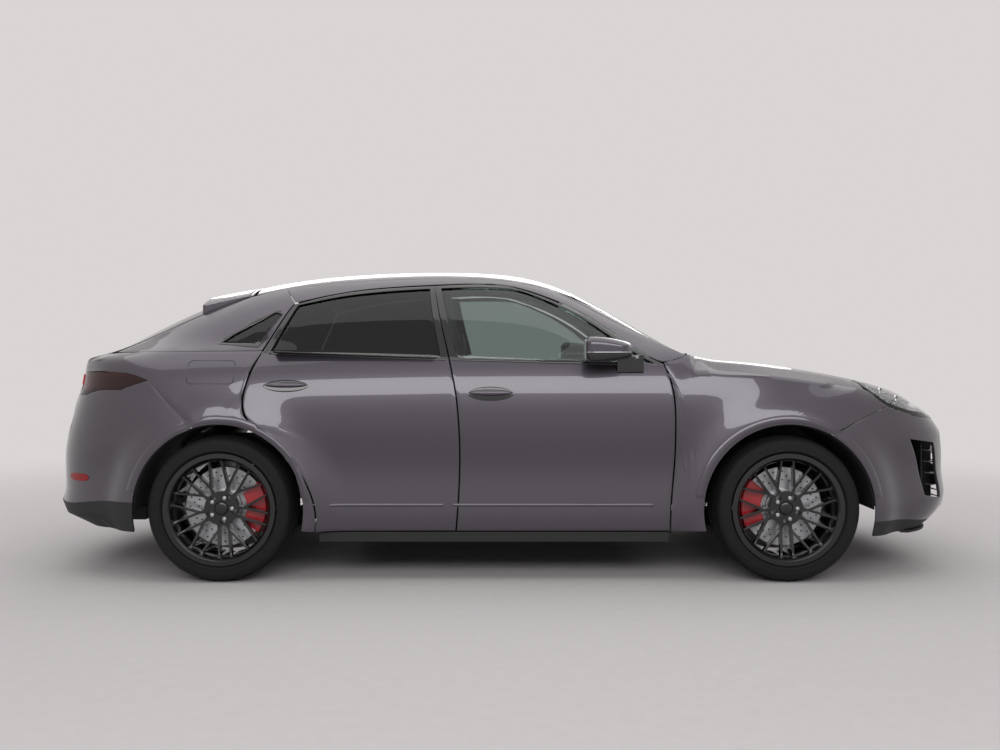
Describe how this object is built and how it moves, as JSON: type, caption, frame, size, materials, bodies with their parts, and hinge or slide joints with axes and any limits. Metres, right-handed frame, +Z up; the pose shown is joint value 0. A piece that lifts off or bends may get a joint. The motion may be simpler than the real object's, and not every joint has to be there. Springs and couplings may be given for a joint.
{
  "type": "coupe sport utility vehicle",
  "caption": "Five-door coupe sport utility vehicle with a hollow furnished cabin, opening doors, bonnet and tailgate, steered front wheels and turning spoked wheels.",
  "frame": {"origin": "on the floor below the middle of the body's box", "axes": "+X forward to the nose, +Y to the car's left, +Z up"},
  "size_m": [4.9199, 2.1656, 1.6342],
  "materials": {
    "paint": "metallic dark grey paint with a faint violet tint",
    "black_trim": "gloss black trim",
    "black_plastic": "grained black plastic",
    "glass": "tinted safety glass",
    "lamp": "clear lamp cover",
    "red_lamp": "red lamp cover",
    "rim_black": "gloss black wheel paint",
    "tyre": "tyre rubber",
    "steel": "bare machined steel",
    "caliper_red": "red brake paint",
    "chassis": "black coated chassis metal",
    "leather": "black leather",
    "exhaust": "polished exhaust tip"
  },
  "bodies": {
    "body": {"floor_pan": "chassis", "sills": "black_plastic", "roof_rails": "paint", "b_pillars": "black_plastic", "quarter_panels": "paint", "rear_pillars": "paint", "roof": "paint", "roof_header": "black_plastic", "fenders": "paint", "front_bumper": "paint", "grille": "black_plastic", "rear_bumper": "paint", "diffuser": "black_plastic", "exhaust_tips": "exhaust", "windscreen": "glass", "quarter_windows": "glass", "headlamps": "lamp", "tail_lamps": "red_lamp", "cowl": "black_plastic", "engine": "chassis", "dashboard": "black_plastic", "steering_wheel": "black_plastic", "front_seats": "leather", "rear_seat": "leather", "arch_liners": "black_plastic", "front_subframe": "chassis", "rear_axle": "chassis", "rear_calipers": "caliper_red"},
    "door_front_right": {"door_fr": "paint", "glass_fr": "glass", "mirror_fr": "paint"},
    "door_front_left": {"door_fl": "paint", "glass_fl": "glass", "mirror_fl": "paint"},
    "door_rear_right": {"door_rr": "paint", "glass_rr": "glass"},
    "door_rear_left": {"door_rl": "paint", "glass_rl": "glass"},
    "bonnet": {"bonnet": "paint"},
    "tailgate": {"tailgate": "paint", "rear_window": "glass", "spoiler": "paint", "lamp_bar": "red_lamp"},
    "steer_right": {"knuckle_fr": "chassis", "caliper_fr": "caliper_red"},
    "steer_left": {"knuckle_fl": "chassis", "caliper_fl": "caliper_red"},
    "wheel_front_right": {"tyre_fr": "tyre", "rim_fr": "rim_black", "disc_fr": "steel"},
    "wheel_front_left": {"tyre_fl": "tyre", "rim_fl": "rim_black", "disc_fl": "steel"},
    "wheel_rear_right": {"tyre_rr": "tyre", "rim_rr": "rim_black", "disc_rr": "steel"},
    "wheel_rear_left": {"tyre_rl": "tyre", "rim_rl": "rim_black", "disc_rl": "steel"}
  },
  "joints": [
    {"name": "door_front_right_hinge", "type": "hinge", "parent": "body", "child": "door_front_right", "pos_m": [0.74696, -0.92, 0.6], "axis": [0, 0, 1], "range_deg": [0, 68]},
    {"name": "door_front_left_hinge", "type": "hinge", "parent": "body", "child": "door_front_left", "pos_m": [0.74696, 0.92, 0.6], "axis": [0, 0, -1], "range_deg": [0, 68]},
    {"name": "door_rear_right_hinge", "type": "hinge", "parent": "body", "child": "door_rear_right", "pos_m": [-0.302, -0.92, 0.6], "axis": [0, 0, 1], "range_deg": [0, 68]},
    {"name": "door_rear_left_hinge", "type": "hinge", "parent": "body", "child": "door_rear_left", "pos_m": [-0.302, 0.92, 0.6], "axis": [0, 0, -1], "range_deg": [0, 68]},
    {"name": "bonnet_hinge", "type": "hinge", "parent": "body", "child": "bonnet", "pos_m": [1.13969, 0, 1.09685], "axis": [0, -1, 0], "range_deg": [0, 60]},
    {"name": "tailgate_hinge", "type": "hinge", "parent": "body", "child": "tailgate", "pos_m": [-1.41491, 0, 1.49628], "axis": [0, 1, 0], "range_deg": [0, 75]},
    {"name": "steer_left_pivot", "type": "hinge", "parent": "body", "child": "steer_left", "pos_m": [1.445, 0.832, 0.372], "axis": [0, 0, 1], "range_deg": [-34, 34]},
    {"name": "steer_right_pivot", "type": "hinge", "parent": "body", "child": "steer_right", "pos_m": [1.445, -0.832, 0.372], "axis": [0, 0, 1], "range_deg": [-34, 34]},
    {"name": "wheel_front_right_spin", "type": "hinge", "parent": "steer_right", "child": "wheel_front_right", "pos_m": [1.445, -0.832, 0.372], "axis": [0, 1, 0], "continuous": true},
    {"name": "wheel_front_left_spin", "type": "hinge", "parent": "steer_left", "child": "wheel_front_left", "pos_m": [1.445, 0.832, 0.372], "axis": [0, 1, 0], "continuous": true},
    {"name": "wheel_rear_right_spin", "type": "hinge", "parent": "body", "child": "wheel_rear_right", "pos_m": [-1.45, -0.832, 0.372], "axis": [0, 1, 0], "continuous": true},
    {"name": "wheel_rear_left_spin", "type": "hinge", "parent": "body", "child": "wheel_rear_left", "pos_m": [-1.45, 0.832, 0.372], "axis": [0, 1, 0], "continuous": true}
  ],
  "couplings": [
    {"joint": "steer_right_pivot", "follows": "steer_left_pivot", "ratio": 1}
  ]
}
